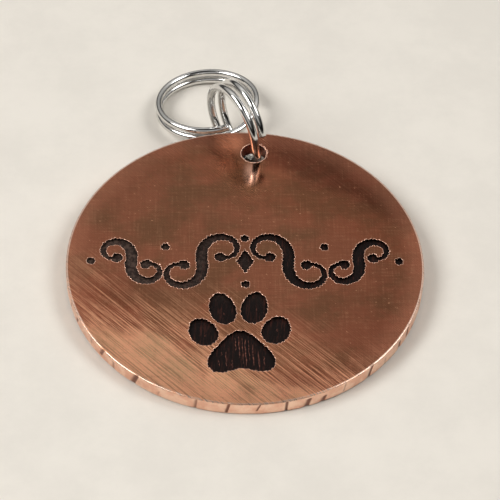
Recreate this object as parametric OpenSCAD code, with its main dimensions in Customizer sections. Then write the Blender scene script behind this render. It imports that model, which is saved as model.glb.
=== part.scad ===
// Round copper pet tag on two double-turn split rings, lying on a table.
// Millimetres, +Z up. The origin is on the table, under the middle of the whole thing.
// The tag's near edge and the upright ring stand on the table, so the tag leans a little.

/* [Disc] */
// Diameter of the copper disc
disc_d = 38.1; // [30:0.1:45]
// Thickness of the sheet it is cut from
disc_t = 1.6; // [1.2:0.05:2]
// Radius of the worn edges
edge_r = 0.15; // [0.05:0.05:0.3]

/* [Hole] */
// Diameter of the hole for the ring
hole_d = 2.9; // [2.8:0.05:3.4]
// Metal left between the hole and the edge
hole_wall = 1.8; // [1.5:0.05:2.2]
// How far the hole sits to the right of the middle
hole_side = 0.6; // [0:0.1:1]

/* [Cut figures] */
// Depth of the cut figures
cut_depth = 0.5; // [0.3:0.05:0.7]
// Thickness of the black filling on their floors
fill_t = 0.2; // [0.1:0.05:0.25]
// Turn of the figures against the disc's middle line, in degrees
figure_turn = 2; // [0:0.5:5]

/* [Paw] */
// Width of the main pad
pad_w = 6.95; // [5.5:0.05:8]
// Height of the main pad
pad_h = 5.4; // [4.5:0.05:6]
// Metal left between the pad's lowest point and the edge
pad_wall = 4.2; // [3.9:0.05:5]
// How far the paw sits to the left of the middle
paw_side = 0.5; // [0:0.1:1]
// Further turn of the paw about its pad's lowest point, in degrees
paw_turn = 2; // [0:0.5:4]
// Width of an outer toe
outer_toe_w = 2.95; // [2:0.05:3.2]
// Height of an outer toe
outer_toe_h = 3.75; // [3:0.05:4]
// Distance between the outer toes' middles
outer_toe_span = 7.6; // [7:0.1:8.4]
// Height of the outer toes' middles over the pad's lowest point
outer_toe_rise = 5.35; // [5:0.05:5.8]
// Width of an inner toe
inner_toe_w = 2.8; // [2:0.05:3]
// Height of an inner toe
inner_toe_h = 4.3; // [3.4:0.05:4.4]
// Distance between the inner toes' middles
inner_toe_span = 3.35; // [3.2:0.05:3.8]
// Height of the inner toes' middles over the pad's lowest point
inner_toe_rise = 8.4; // [8.1:0.05:9]

/* [Scrollwork] */
// Length of an inner scroll's stroke
inner_scroll_len = 19.4; // [17:0.2:20]
// Length of an outer scroll's stroke
outer_scroll_len = 15.6; // [14:0.2:16]
// Width of the stroke where it is widest
stroke_w = 1.3; // [0.8:0.05:1.5]
// Width of the stroke at its thin ends
stroke_end_w = 0.5; // [0.3:0.05:0.7]
// Diameter of the round drop that ends a stroke
drop_d = 1.25; // [0.9:0.05:1.5]
// Distance from the middle of the band to the middle of the inner scroll
inner_scroll_x = 4.6; // [4.5:0.1:5]
// Distance from the middle of the band to the middle of the outer scroll
outer_scroll_x = 12.1; // [11.9:0.1:12.4]
// Height of the lozenge in the middle of the band
lozenge_h = 3.4; // [2.5:0.1:4]
// Width of that lozenge
lozenge_w = 1.9; // [1.2:0.1:2]
// Diameter of the dots
dot_d = 0.95; // [0.6:0.05:1]
// Distance between the dots over and under the lozenge
dot_span = 6.4; // [6:0.1:7]
// Distance from the middle of the band to the dots between the scrolls
side_dot_x = 8.5; // [8.3:0.1:8.7]
// Height of these dots over the band's middle line
side_dot_y = 2; // [1.7:0.1:3]
// Distance from the middle of the band to the dots at its ends
end_dot_x = 16.4; // [16.1:0.1:16.7]
// Height of the band's middle line, measured from the middle of the disc
band_y = 0; // [-1:0.1:1]

/* [Link ring] */
// Outside diameter of the small ring, which goes through the disc's hole
link_od = 9.95; // [9.5:0.05:10.4]
// Height of its wire, measured across the ring
link_wire_h = 0.85; // [0.75:0.05:0.95]
// Width of its wire, measured along the ring's axis
link_wire_w = 0.85; // [0.75:0.05:0.95]
// Gap between its two turns where the wire crosses from one to the other
link_turn_gap = 0.15; // [0.1:0.01:0.2]
// How much wider that gap is at the other side, where the ring has been pried open
link_spread = 0.4; // [0:0.05:0.5]
// Turn of the ring's plane about the hole, in degrees
link_turn = 33; // [25:1:38]
// Free space between the ring and the two edges of the hole that it lies against
link_gap = 0.25; // [0.2:0.01:0.3]

/* [Collar ring] */
// Outside diameter of the large ring, which goes on the collar
collar_od = 12; // [11.5:0.1:13]
// Height of its wire, measured across the ring
collar_wire_h = 0.75; // [0.65:0.05:0.85]
// Width of its wire, measured along the ring's axis
collar_wire_w = 0.8; // [0.7:0.05:0.9]
// Gap between its two turns
collar_turn_gap = 0.2; // [0.1:0.01:0.25]
// Distance from the link ring's middle to where the collar ring goes through it
collar_pass = 1.75; // [1.6:0.05:2]
// How far the collar ring's middle sits beside the link ring's plane
collar_side = 0.6; // [0.1:0.05:0.7]
// Free space between the collar ring and the link ring's inside
collar_gap = 0.15; // [0.1:0.01:0.2]

/* [Split of the rings] */
// Angle that the single wire takes to change from one turn to the other, in degrees
cross_angle = 60; // [45:1:75]
// Angle between each wire end and the shoulder that it stops at, in degrees
end_angle = 9; // [6:1:14]
// Length of the small taper at each wire end
end_taper = 0.16; // [0.1:0.01:0.2]
// Where the link ring's crossing lies in its own plane, in degrees: in the hole
link_split = 200; // [190:1:215]
// Where the collar ring's crossing lies in its own plane, in degrees
collar_split = 212; // [205:1:225]

/* [Hidden] */
$fn = 96;
overrun = 1;

disc_r = disc_d / 2;
hole_r = hole_d / 2;
hole_y = disc_r - hole_wall - hole_r;
pad_y = pad_wall - disc_r;
copper = [0.72, 0.42, 0.3];
black = [0.06, 0.05, 0.05];
nickel = [0.8, 0.8, 0.82];

link_pitch = link_wire_w + link_turn_gap;
link_r = (link_od - link_wire_h) / 2;
link_in_r = link_od / 2 - link_wire_h;
link_out_r = link_od / 2;
collar_pitch = collar_wire_w + collar_turn_gap;
collar_r = (collar_od - collar_wire_h) / 2;
collar_stack = collar_pitch + collar_wire_w;

// The upright ring is wedged in the hole. Its outside lies against the hole's near upper edge,
// and its inside against the far lower edge. With the ring's middle at (reach, rise) from the
// middle of the hole's lower end, both distances to these edges are known:
// (reach - hole_r)^2 + rise^2 = inner^2 and (reach + hole_r)^2 + (rise - disc_t)^2 = outer^2.
wedge_in = link_in_r - link_gap;
wedge_out = link_out_r + link_gap;
wedge_a = (wedge_out * wedge_out - wedge_in * wedge_in - disc_t * disc_t) / (4 * hole_r) - hole_r;
wedge_b = disc_t / (2 * hole_r);
wedge_c = 1 + wedge_b * wedge_b;
wedge_root = sqrt(wedge_c * wedge_in * wedge_in - wedge_a * wedge_a);
link_rise = (wedge_root - wedge_a * wedge_b) / wedge_c;
link_reach = wedge_a + hole_r + wedge_b * link_rise;

// Directions in plan: out along the upright ring's plane, and its axis
out_dir = [-sin(link_turn), cos(link_turn)];
axis_dir = [cos(link_turn), sin(link_turn)];
link_x = hole_side + link_reach * out_dir[0];
link_y = hole_y + link_reach * out_dir[1];

// The tag leans on its near edge, so that the upright ring just stands on the table
foot = disc_r - edge_r;
link_span = sqrt((foot + link_y) * (foot + link_y) + link_rise * link_rise);
lean = asin(link_out_r / link_span) - atan(link_rise / (foot + link_y));

// The collar ring lies on the link ring's wire with one side and on the table with the other
pass_r = link_in_r - collar_gap - max(collar_wire_h, collar_wire_w) / 2;
pass_z = link_out_r - sqrt(pass_r * pass_r - collar_pass * collar_pass) + collar_pitch / 2;
// pass_z = 2 * collar_r * sin(tilt) + stack / 2 * cos(tilt)
collar_long = 2 * collar_r;
collar_hyp = sqrt(collar_long * collar_long + collar_stack * collar_stack / 4);
collar_tilt = asin(pass_z / collar_hyp) - atan(collar_stack / 2 / collar_long);
collar_reach = collar_pass + collar_r * cos(collar_tilt);
collar_z = pass_z - collar_r * sin(collar_tilt);

// A point of the flat tag, moved to where it is on the table, before the origin is centred
function leant(p) = [
    p[0],
    (p[1] + foot) * cos(lean) - p[2] * sin(lean),
    (p[1] + foot) * sin(lean) + p[2] * cos(lean)
];
link_at = leant([link_x, link_y, link_rise]);
hole_at = leant([hole_side, hole_y, disc_t / 2]);
collar_at = [
    link_at[0] + collar_reach * out_dir[0] + collar_side * axis_dir[0],
    link_at[1] + collar_reach * out_dir[1] + collar_side * axis_dir[1],
    collar_z
];
// The whole thing reaches from the tag's near rim to the collar ring's far side
collar_lean_y = sin(collar_tilt) * out_dir[1];
near_y = leant([0, -disc_r, disc_t - edge_r])[1];
far_y = collar_at[1] + collar_r * sqrt(1 - collar_lean_y * collar_lean_y)
    + collar_pitch / 2 * collar_lean_y + collar_wire_h / 2;
centre_y = (near_y + far_y) / 2;

link_axis = [axis_dir[0], axis_dir[1] * cos(lean), axis_dir[1] * sin(lean)];
collar_axis = [
    sin(collar_tilt) * out_dir[0],
    sin(collar_tilt) * out_dir[1],
    cos(collar_tilt)
];

// Places that the joints and the collar's side of the part go by
echo(lean = lean, link_reach = link_reach, link_rise = link_rise, collar_tilt = collar_tilt);
echo(hole_at = hole_at - [0, centre_y, 0], link_at = link_at - [0, centre_y, 0]);
echo(collar_at = collar_at - [0, centre_y, 0], link_axis = link_axis, collar_axis = collar_axis);
echo(centre_y = centre_y, foot = foot);

// Smooth step from 0 to 1
function ease(t) = t <= 0 ? 0 : t >= 1 ? 1 : t * t * (3 - 2 * t);

// Sum of the first n items of a list
function sums(list) = [
    for (i = 0, s = list[0]; i < len(list); i = i + 1, s = s + (i < len(list) ? list[i] : list[0])) s
];

// Point of a closed smooth curve through a list of points: p runs from 0 to the list's length
function through(points, p) =
    let (
        n = len(points),
        i = floor(p),
        t = p - i,
        a = points[(i + n - 1) % n],
        b = points[i % n],
        c = points[(i + 1) % n],
        d = points[(i + 2) % n]
    )
    (2 * b + (c - a) * t + (2 * a - 5 * b + 4 * c - d) * t * t + (3 * b - a - 3 * c + d) * t * t * t) / 2;

/* The figures */

// Right half of the main pad, from its top to the notch below, as shares of half its width and
// of its height
pad_shares = [
    [0, 1], [0.2, 0.965], [0.42, 0.85], [0.65, 0.67], [0.87, 0.49], [1, 0.29],
    [0.97, 0.13], [0.82, 0.025], [0.56, 0], [0.3, 0.04], [0, 0.085]
];
pad_steps = 4;

module main_pad() {
    right = [for (s = pad_shares) [s[0] * pad_w / 2, s[1] * pad_h]];
    left = [for (i = [len(right) - 2:-1:1]) [-right[i][0], right[i][1]]];
    outline = concat(right, left);
    steps = len(outline) * pad_steps;
    polygon([for (i = [0:steps - 1]) through(outline, i / pad_steps)]);
}

toe_sides = 40;
inner_toe_lean = 12;
outer_toe_lean = 24;
// How much wider a toe is below its middle, as a share
toe_drop_share = 0.08;

module toe(w, h) {
    polygon([
        for (i = [0:toe_sides - 1])
            let (a = 360 * i / toe_sides)
            [w / 2 * cos(a) * (1 - toe_drop_share * sin(a)), h / 2 * sin(a)]
    ]);
}

module paw_outline() {
    rotate(figure_turn) translate([-paw_side, pad_y]) rotate(paw_turn) {
        main_pad();
        for (side = [-1, 1]) {
            translate([side * outer_toe_span / 2, outer_toe_rise]) rotate(-side * outer_toe_lean)
                toe(outer_toe_w, outer_toe_h);
            translate([side * inner_toe_span / 2, inner_toe_rise]) rotate(-side * inner_toe_lean)
                toe(inner_toe_w, inner_toe_h);
        }
    }
}

// A scroll's stroke bends more and more towards both ends, to opposite sides. Its heading at
// share s of its half length is first_heading + curl_angle * |s| ^ curl_power.
scroll_steps = 44;
curl_angle = 300;
curl_power = 1.5;
first_heading = -96;

function scroll_line(length) =
    let (
        step = length / scroll_steps,
        shares = [for (i = [0:scroll_steps]) 2 * i / scroll_steps - 1],
        headings = [for (s = shares) first_heading + curl_angle * pow(abs(s), curl_power)],
        moves = [for (a = headings) step * [cos(a), sin(a)]],
        points = sums(moves),
        middle = points[scroll_steps / 2]
    )
    [for (i = [0:scroll_steps]) [points[i] - middle, headings[i], abs(shares[i])]];

module scroll(length) {
    line = scroll_line(length);
    half = [for (p = line) (stroke_end_w + (stroke_w - stroke_end_w) * (1 - ease(p[2]))) / 2];
    left = [for (i = [0:scroll_steps]) line[i][0] + half[i] * [-sin(line[i][1]), cos(line[i][1])]];
    right = [for (i = [0:scroll_steps]) line[i][0] - half[i] * [-sin(line[i][1]), cos(line[i][1])]];
    polygon(concat(left, [for (i = [scroll_steps:-1:0]) right[i]]));
    for (end = [0, scroll_steps]) translate(line[end][0]) circle(d = drop_d, $fn = 24);
}

module scroll_outline() {
    rotate(figure_turn) translate([0, band_y]) {
        polygon([[0, lozenge_h / 2], [lozenge_w / 2, 0], [0, -lozenge_h / 2], [-lozenge_w / 2, 0]]);
        for (side = [-1, 1]) {
            translate([0, side * dot_span / 2]) circle(d = dot_d, $fn = 24);
        }
        for (flip = [0, 1]) mirror([flip, 0]) {
            translate([inner_scroll_x, 0]) scroll(inner_scroll_len);
            translate([outer_scroll_x, 0]) mirror([0, 1]) scroll(outer_scroll_len);
            translate([side_dot_x, side_dot_y]) circle(d = dot_d, $fn = 24);
            translate([end_dot_x, 0]) circle(d = dot_d, $fn = 24);
        }
    }
}

/* The rings */

// Middle line of a double-turn ring at angle a of its wire: one turn below, a crossing to the
// other side, and one turn above. The crossing's middle is at angle 0 of the ring's plane, and
// the turns stand further apart by the spread at the side opposite to it.
wire_angle = 720 - cross_angle - 2 * end_angle;
wire_steps = 108;
wire_sides = 16;
look_ahead = 1;

function wire_shift(turn, pitch, spread) =
    (pitch + spread * (1 - cos(turn)) / 2) * (ease(turn / cross_angle + 1 / 2) - 1 / 2);

function wire_point(a, r, pitch, spread) =
    let (turn = a - wire_angle / 2)
    [r * cos(turn), r * sin(turn), wire_shift(turn, pitch, spread)];

// One cross-section of the wire, square to its middle line, grown by a share
function wire_section(a, r, pitch, spread, high, wide, share) =
    let (
        here = wire_point(a, r, pitch, spread),
        ahead = wire_point(a + look_ahead, r, pitch, spread) - wire_point(a - look_ahead, r, pitch, spread),
        along = ahead / norm(ahead),
        out = [here[0], here[1], 0] / r,
        across = cross(along, out)
    )
    [
        for (i = [0:wire_sides - 1])
            let (b = 360 * i / wire_sides)
            here + share * (high / 2 * cos(b) * out + wide / 2 * sin(b) * across)
    ];

// The wire as one unbroken tube with flat, slightly tapered ends
end_share = 0.75;

module split_ring(r, pitch, spread, high, wide) {
    taper = end_taper / r * 180 / PI;
    inner = [for (i = [0:wire_steps]) taper + (wire_angle - 2 * taper) * i / wire_steps];
    angles = concat([0], inner, [wire_angle]);
    last = len(angles) - 1;
    points = [
        for (i = [0:last])
            let (share = i == 0 || i == last ? end_share : 1)
            each wire_section(angles[i], r, pitch, spread, high, wide, share)
    ];
    sides = [
        for (i = [0:last - 1], j = [0:wire_sides - 1])
            let (
                k = (j + 1) % wire_sides,
                a = i * wire_sides + j,
                b = i * wire_sides + k,
                c = a + wire_sides,
                d = b + wire_sides
            )
            each [[a, d, b], [a, c, d]]
    ];
    caps = [
        for (j = [1:wire_sides - 2])
            each [[0, j, j + 1], [last * wire_sides, last * wire_sides + j + 1, last * wire_sides + j]]
    ];
    polyhedron(points = points, faces = concat(sides, caps));
}

/* The pieces */

// Puts the flat tag's pieces where they are on the table
module on_table() {
    translate([0, -centre_y, 0]) rotate([lean, 0, 0]) translate([0, foot, 0]) children();
}

module tag_disc() {
    color(copper) on_table() difference() {
        rotate_extrude() {
            square([disc_r - edge_r, disc_t]);
            translate([0, edge_r]) square([disc_r, disc_t - 2 * edge_r]);
            for (z = [edge_r, disc_t - edge_r]) translate([disc_r - edge_r, z]) circle(edge_r, $fn = 24);
        }
        translate([hole_side, hole_y, -overrun]) cylinder(r = hole_r, h = disc_t + 2 * overrun);
        translate([0, 0, disc_t - cut_depth]) linear_extrude(cut_depth + overrun) paw_outline();
        translate([0, 0, disc_t - cut_depth]) linear_extrude(cut_depth + overrun) scroll_outline();
    }
}

module paw_fill() {
    color(black) on_table() translate([0, 0, disc_t - cut_depth]) linear_extrude(fill_t) paw_outline();
}

module scroll_fill() {
    color(black) on_table() translate([0, 0, disc_t - cut_depth]) linear_extrude(fill_t) scroll_outline();
}

module link_ring() {
    color(nickel) on_table()
        translate([link_x, link_y, link_rise])
        rotate([90, 0, 90 + link_turn])
        rotate(link_split)
        split_ring(link_r, link_pitch, link_spread, link_wire_h, link_wire_w);
}

module collar_ring() {
    color(nickel) translate([0, -centre_y, 0])
        translate(collar_at)
        rotate([0, collar_tilt, 90 + link_turn])
        rotate(collar_split)
        split_ring(collar_r, collar_pitch, 0, collar_wire_h, collar_wire_w);
}

tag_disc();
paw_fill();
scroll_fill();
link_ring();
collar_ring();
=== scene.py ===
"""Looks of a round copper pet tag with a cut paw and scrollwork, on two split rings.

Lengths in the pieces' classes are in millimetres, in the flat tag's own frame: its middle is
the origin, its back lies at height 0 and +Y points to the hole. The meshes are in metres, in
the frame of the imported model, where the tag leans on its near edge.
"""

from __future__ import annotations

import logging
import math
from dataclasses import dataclass, field
from enum import Enum, IntEnum
from functools import cache

import bpy
import numpy as np
from mathutils import Matrix, Vector
from numpy.typing import NDArray


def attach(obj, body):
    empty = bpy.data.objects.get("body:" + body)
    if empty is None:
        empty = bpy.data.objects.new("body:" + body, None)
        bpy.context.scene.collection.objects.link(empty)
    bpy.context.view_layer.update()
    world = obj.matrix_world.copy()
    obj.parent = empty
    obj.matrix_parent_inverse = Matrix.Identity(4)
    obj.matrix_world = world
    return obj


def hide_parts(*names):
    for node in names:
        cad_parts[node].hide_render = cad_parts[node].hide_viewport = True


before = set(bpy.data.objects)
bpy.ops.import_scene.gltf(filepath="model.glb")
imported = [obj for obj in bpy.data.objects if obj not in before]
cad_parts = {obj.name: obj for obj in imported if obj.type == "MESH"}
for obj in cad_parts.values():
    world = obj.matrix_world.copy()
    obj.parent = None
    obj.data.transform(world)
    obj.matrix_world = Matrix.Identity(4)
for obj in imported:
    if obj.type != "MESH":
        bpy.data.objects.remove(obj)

Array = NDArray[np.float64]
Faces = list[NDArray[np.int64]]
Pair = tuple[float, float]
Triple = tuple[float, float, float]
Color = Triple
Socket = bpy.types.NodeSocket

MM = 0.001
FULL = 2 * math.pi

log = logging.getLogger("pet_tag")


class Seed(IntEnum):
    """First seed of each random pattern. A pattern on several lines counts on from it."""

    RIM_WEAR = 3
    HOLE_WEAR = 5
    SHEAR = 7
    PAW_CUT = 10
    BAND_CUT = 40
    HOLE_LIP = 77
    RIDGE_SIZE = 90
    RIDGE_LINE = 120
    PAW_LIP = 200
    BAND_LIP = 300


def put_in_scene(name: str, data: bpy.types.ID) -> bpy.types.Object:
    """A new object for a mesh, lamp or camera, linked to the scene."""
    made = bpy.data.objects.new(name, data)
    bpy.context.scene.collection.objects.link(made)
    return made


def new_piece(name: str, points: Array, faces: Faces, smooth: bool = True) -> bpy.types.Object:
    """Puts a mesh in the scene.

    Args:
        name: The piece's name.
        points: Corners, n x 3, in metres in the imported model's frame.
        faces: Blocks of faces. A block has one row of corner numbers for each face.
        smooth: Whether the faces are shaded smooth.

    Returns:
        The object, which sits at the origin.
    """
    counts = np.concatenate([np.full(len(block), block.shape[1]) for block in faces])
    corners = np.concatenate([block.ravel() for block in faces])
    starts = np.cumsum(counts) - counts
    mesh = bpy.data.meshes.new(name)
    mesh.vertices.add(len(points))
    mesh.vertices.foreach_set("co", points.astype(np.float32).ravel())
    mesh.loops.add(len(corners))
    mesh.loops.foreach_set("vertex_index", corners.astype(np.int32))
    mesh.polygons.add(len(counts))
    mesh.polygons.foreach_set("loop_start", starts.astype(np.int32))
    mesh.polygons.foreach_set("use_smooth", np.full(len(counts), smooth))
    mesh.update(calc_edges=True)
    mesh.validate()
    return put_in_scene(name, mesh)


def tube_faces(rows: int, columns: int, closed: bool = False, offset: int = 0) -> Faces:
    """Faces of a tube of rings of points, numbered ring by ring.

    A face joins point j of ring i to the next point of the ring, counted round, and to both
    of these in the next ring.

    Args:
        rows: Number of rings.
        columns: Points in a ring.
        closed: Whether the last ring joins the first; if not, both ends get a flat cap.
        offset: Number of the tube's first point.

    Returns:
        Blocks of faces, with the two caps last.
    """
    spans = rows if closed else rows - 1
    i, j = np.meshgrid(np.arange(spans), np.arange(columns), indexing="ij")
    here, there = i * columns, (i + 1) % rows * columns
    k = (j + 1) % columns
    quads = np.stack([here + j, here + k, there + k, there + j], -1).reshape(-1, 4) + offset
    if closed:
        return [quads]
    cap = np.arange(columns)[None] + offset
    return [quads, cap[:, ::-1], cap + (rows - 1) * columns]


def periodic_noise(share: Array, waves: tuple[int, int], seed: int, count: int = 14) -> Array:
    """Smooth noise round a closed line.

    The sum of count sines of share, with whole wave numbers between the two given and random
    phases, divided by the square root of count / 2, so that its spread is about 1.

    Args:
        share: Place along the line, 0 to 1.
        waves: Lowest and highest number of waves round the line.
        seed: Seed of the random phases.
        count: Number of sines.

    Returns:
        Noise with the shape of share.
    """
    dice = np.random.default_rng(seed)
    numbers = dice.integers(waves[0], waves[1] + 1, count)
    phases = dice.uniform(0, FULL, count)
    total = np.sin(FULL * share[..., None] * numbers + phases).sum(-1)
    return total / math.sqrt(count / 2)


def line_noise(line: Array, length: float, waves: Pair, seed: int) -> Array:
    """Noise at the points of a closed line, from the longest and the shortest wave's length."""
    numbers = max(2, round(length / waves[0])), max(4, round(length / waves[1]))
    return periodic_noise(np.arange(len(line)) / len(line), numbers, seed)


def resample(line: Array, step: float, fewest: int = 12) -> Array:
    """A closed line with equal steps.

    Args:
        line: Points of the closed line, n x 2, the first not repeated.
        step: Wanted distance between points.
        fewest: Least number of points.

    Returns:
        Points, counter-clockwise.
    """
    ring = np.vstack([line, line[:1]])
    lengths = np.concatenate([[0], np.cumsum(np.linalg.norm(np.diff(ring, axis=0), axis=1))])
    count = max(fewest, round(lengths[-1] / step))
    places = np.linspace(0, lengths[-1], count, endpoint=False)
    even = np.stack([np.interp(places, lengths, ring[:, i]) for i in (0, 1)], -1)
    after = np.roll(even, -1, axis=0)
    area = (even[:, 0] * after[:, 1] - after[:, 0] * even[:, 1]).sum()
    return even if area > 0 else even[::-1]


def circle(radius: float, count: int) -> Array:
    """Points of a circle round the origin, counter-clockwise from +X."""
    a = np.linspace(0, FULL, count, endpoint=False)
    return np.stack([np.cos(a), np.sin(a)], -1) * radius


def outward(line: Array) -> Array:
    """Unit normals of a counter-clockwise closed line, away from what it encloses."""
    along = np.roll(line, -1, axis=0) - np.roll(line, 1, axis=0)
    along /= np.linalg.norm(along, axis=1, keepdims=True)
    return np.stack([along[:, 1], -along[:, 0]], -1)


def turned(line: Array, degrees: float) -> Array:
    """The line turned about the origin, counter-clockwise."""
    a = math.radians(degrees)
    c, s = math.cos(a), math.sin(a)
    return line @ np.array([[c, s], [-s, c]])


def smooth_step(t: Array) -> Array:
    """3 t^2 - 2 t^3, held to 0 before 0 and to 1 after 1."""
    t = np.clip(t, 0, 1)
    return t * t * (3 - 2 * t)


@dataclass(frozen=True)
class TagPlace:
    """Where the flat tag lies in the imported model's frame.

    The tag turns by the lean, in degrees, about a line across it, which is foot in front of
    its middle. The line then lies centre_y in front of the frame's origin.
    """

    lean: float = 2.56769
    foot: float = 18.9
    centre_y: float = 24.8612

    def matrix(self) -> Array:
        """The rotation about X by the lean, 3 x 3."""
        c, s = math.cos(math.radians(self.lean)), math.sin(math.radians(self.lean))
        return np.array([[1, 0, 0], [0, c, -s], [0, s, c]])

    def millimetres(self, points: Array) -> Array:
        """Points in metres, moved back to the flat tag's frame in millimetres."""
        return (points / MM + [0, self.centre_y, 0]) @ self.matrix() - [0, self.foot, 0]

    def metres(self, points: Array) -> Array:
        """Points of the flat tag in millimetres, moved to the model's frame in metres."""
        moved = (points + [0, self.foot, 0]) @ self.matrix().T
        return (moved - [0, self.centre_y, 0]) * MM


PLACE = TagPlace()


def tag_piece(
    name: str, tubes: list[Array], closed: bool = False, smooth: bool = True
) -> bpy.types.Object:
    """A piece of the tag that is made of tubes.

    Args:
        name: The piece's name.
        tubes: Each is rings x points x 3, in millimetres in the flat tag's frame.
        closed: Whether each tube's last ring joins its first.
        smooth: Whether the faces are shaded smooth.

    Returns:
        The piece.
    """
    faces, count = [], 0
    for tube in tubes:
        rows, columns = tube.shape[:2]
        faces += tube_faces(rows, columns, closed, count)
        count += rows * columns
    points = np.vstack([tube.reshape(-1, 3) for tube in tubes])
    return new_piece(name, PLACE.metres(points), faces, smooth)


@dataclass(frozen=True)
class Figures:
    """Outlines of the cut figures: a paw, and a band of scrolls, a lozenge and dots.

    A toe's place is that of its middle over the pad's lowest point. A scroll is given by its
    middle's x and its length, and the stroke by its width at the middle and at the ends.
    """

    turn: float = 2.0
    step: float = 0.075
    pad_w: float = 6.95
    pad_h: float = 5.4
    pad_y: float = -14.85
    paw_side: float = 0.5
    paw_turn: float = 2.0
    outer_toe: Pair = (2.95, 3.75)
    outer_toe_place: Pair = (3.8, 5.35)
    outer_toe_lean: float = 24.0
    inner_toe: Pair = (2.8, 4.3)
    inner_toe_place: Pair = (1.675, 8.4)
    inner_toe_lean: float = 12.0
    toe_drop: float = 0.08
    inner_scroll: Pair = (4.6, 19.4)
    outer_scroll: Pair = (12.1, 15.6)
    stroke: Pair = (1.3, 0.5)
    drop_d: float = 1.25
    first_heading: float = -96.0
    curl: float = 300.0
    curl_power: float = 1.5
    lozenge: Pair = (1.9, 3.4)
    dot_d: float = 0.95
    dots: tuple[Pair, ...] = ((0, 3.2), (0, -3.2), (8.5, 2), (-8.5, 2), (16.4, 0), (-16.4, 0))
    # Knots of the pad's right half, as shares of its half width and its height
    pad_knots: tuple[Pair, ...] = (
        (0, 1), (0.2, 0.965), (0.42, 0.85), (0.65, 0.67), (0.87, 0.49), (1, 0.29),
        (0.97, 0.13), (0.82, 0.025), (0.56, 0), (0.3, 0.04), (0, 0.085),
    )
    # Points between two knots, round a toe, along a scroll, along its drop and round a dot
    knot_points: int = 24
    toe_points: int = 160
    scroll_points: int = 401
    drop_points: int = 24
    dot_points: int = 48

    def pad(self) -> Array:
        """The main pad: a Catmull-Rom curve through the knots.

        Returns:
            The closed outline, with the pad's lowest point at height 0.
        """
        right = np.array(self.pad_knots) * [self.pad_w / 2, self.pad_h]
        knots = np.vstack([right, right[-2:0:-1] * [-1, 1]])
        t = np.linspace(0, 1, self.knot_points, endpoint=False)[None, :, None]
        a, b, c, d = (np.roll(knots, k, axis=0)[:, None, :] for k in (1, 0, -1, -2))
        square, cube = 2 * a - 5 * b + 4 * c - d, 3 * b - a - 3 * c + d
        curve = (2 * b + (c - a) * t + square * t**2 + cube * t**3) / 2
        return curve.reshape(-1, 2)

    def toe(self, size: Pair, place: Pair, lean: float) -> Array:
        """A toe: an ellipse that is a little wider below its middle.

        Args:
            size: Width and height.
            place: Its middle over the pad's lowest point; the sign of x gives the side.
            lean: Turn away from the paw's middle line, in degrees.

        Returns:
            The closed outline.
        """
        oval = circle(1, self.toe_points) * [size[0] / 2, size[1] / 2]
        oval[:, 0] *= 1 - self.toe_drop * oval[:, 1] / (size[1] / 2)
        return turned(oval, -math.copysign(lean, place[0])) + place

    def on_tag(self, line: Array) -> Array:
        """A line over the pad's lowest point, moved to its place on the tag."""
        return turned(turned(line, self.paw_turn) + [-self.paw_side, self.pad_y], self.turn)

    def paw(self) -> list[Array]:
        """Outlines of the pad and the four toes, in place."""
        shapes = [self.pad()]
        for side in (-1, 1):
            for size, place, lean in (
                (self.outer_toe, self.outer_toe_place, self.outer_toe_lean),
                (self.inner_toe, self.inner_toe_place, self.inner_toe_lean),
            ):
                shapes.append(self.toe(size, (side * place[0], place[1]), lean))
        return [resample(self.on_tag(s), self.step) for s in shapes]

    def scroll(self, length: float) -> Array:
        """A stroke that bends more and more towards both ends, and ends in round drops.

        At share s of the half length the heading is first_heading + curl |s|^power. The half
        width falls from the middle to the ends with a smooth step, and near an end it is at
        least that of the drop's circle.

        Args:
            length: Length of the stroke between the drops' middles.

        Returns:
            The closed outline, centred on the stroke's middle.
        """
        count, extra, radius = self.scroll_points, self.drop_points, self.drop_d / 2
        share = np.linspace(-1, 1, count)
        heading = np.radians(self.first_heading + self.curl * np.abs(share) ** self.curl_power)
        along = np.stack([np.cos(heading), np.sin(heading)], -1)
        path = np.cumsum(along * (length / (count - 1)), axis=0)
        path -= path[count // 2]
        beyond = np.linspace(0, radius, extra + 1)[1:]
        before, after = -beyond[::-1, None] * along[0], beyond[:, None] * along[-1]
        path = np.vstack([path[0] + before, path, path[-1] + after])
        place = np.concatenate([-beyond[::-1], np.linspace(0, length, count), length + beyond])
        along = np.vstack([np.tile(along[0], (extra, 1)), along, np.tile(along[-1], (extra, 1))])
        middle = np.clip(np.abs(2 * place / length - 1), 0, 1)
        wide, narrow = self.stroke
        half = (narrow + (wide - narrow) * (1 - smooth_step(middle))) / 2
        half = np.where((place < 0) | (place > length), 0, half)
        near_end = np.minimum(np.abs(place), np.abs(place - length))
        half = np.maximum(half, np.sqrt(np.clip(radius**2 - near_end**2, 0, None)))
        side = along[:, ::-1] * [-1, 1] * half[:, None]
        return np.vstack([path + side, (path - side)[::-1]])

    def band(self) -> list[Array]:
        """Outlines of the scrolls, the lozenge and the dots, in place."""
        w, h = self.lozenge
        shapes = [np.array([[0, h / 2], [-w / 2, 0], [0, -h / 2], [w / 2, 0]])]
        inner = self.scroll(self.inner_scroll[1]) + [self.inner_scroll[0], 0]
        outer = self.scroll(self.outer_scroll[1]) * [1, -1] + [self.outer_scroll[0], 0]
        shapes += [inner, outer, inner * [-1, 1], outer * [-1, 1]]
        shapes += [circle(self.dot_d / 2, self.dot_points) + place for place in self.dots]
        return [resample(turned(s, self.turn), self.step) for s in shapes]


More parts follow.
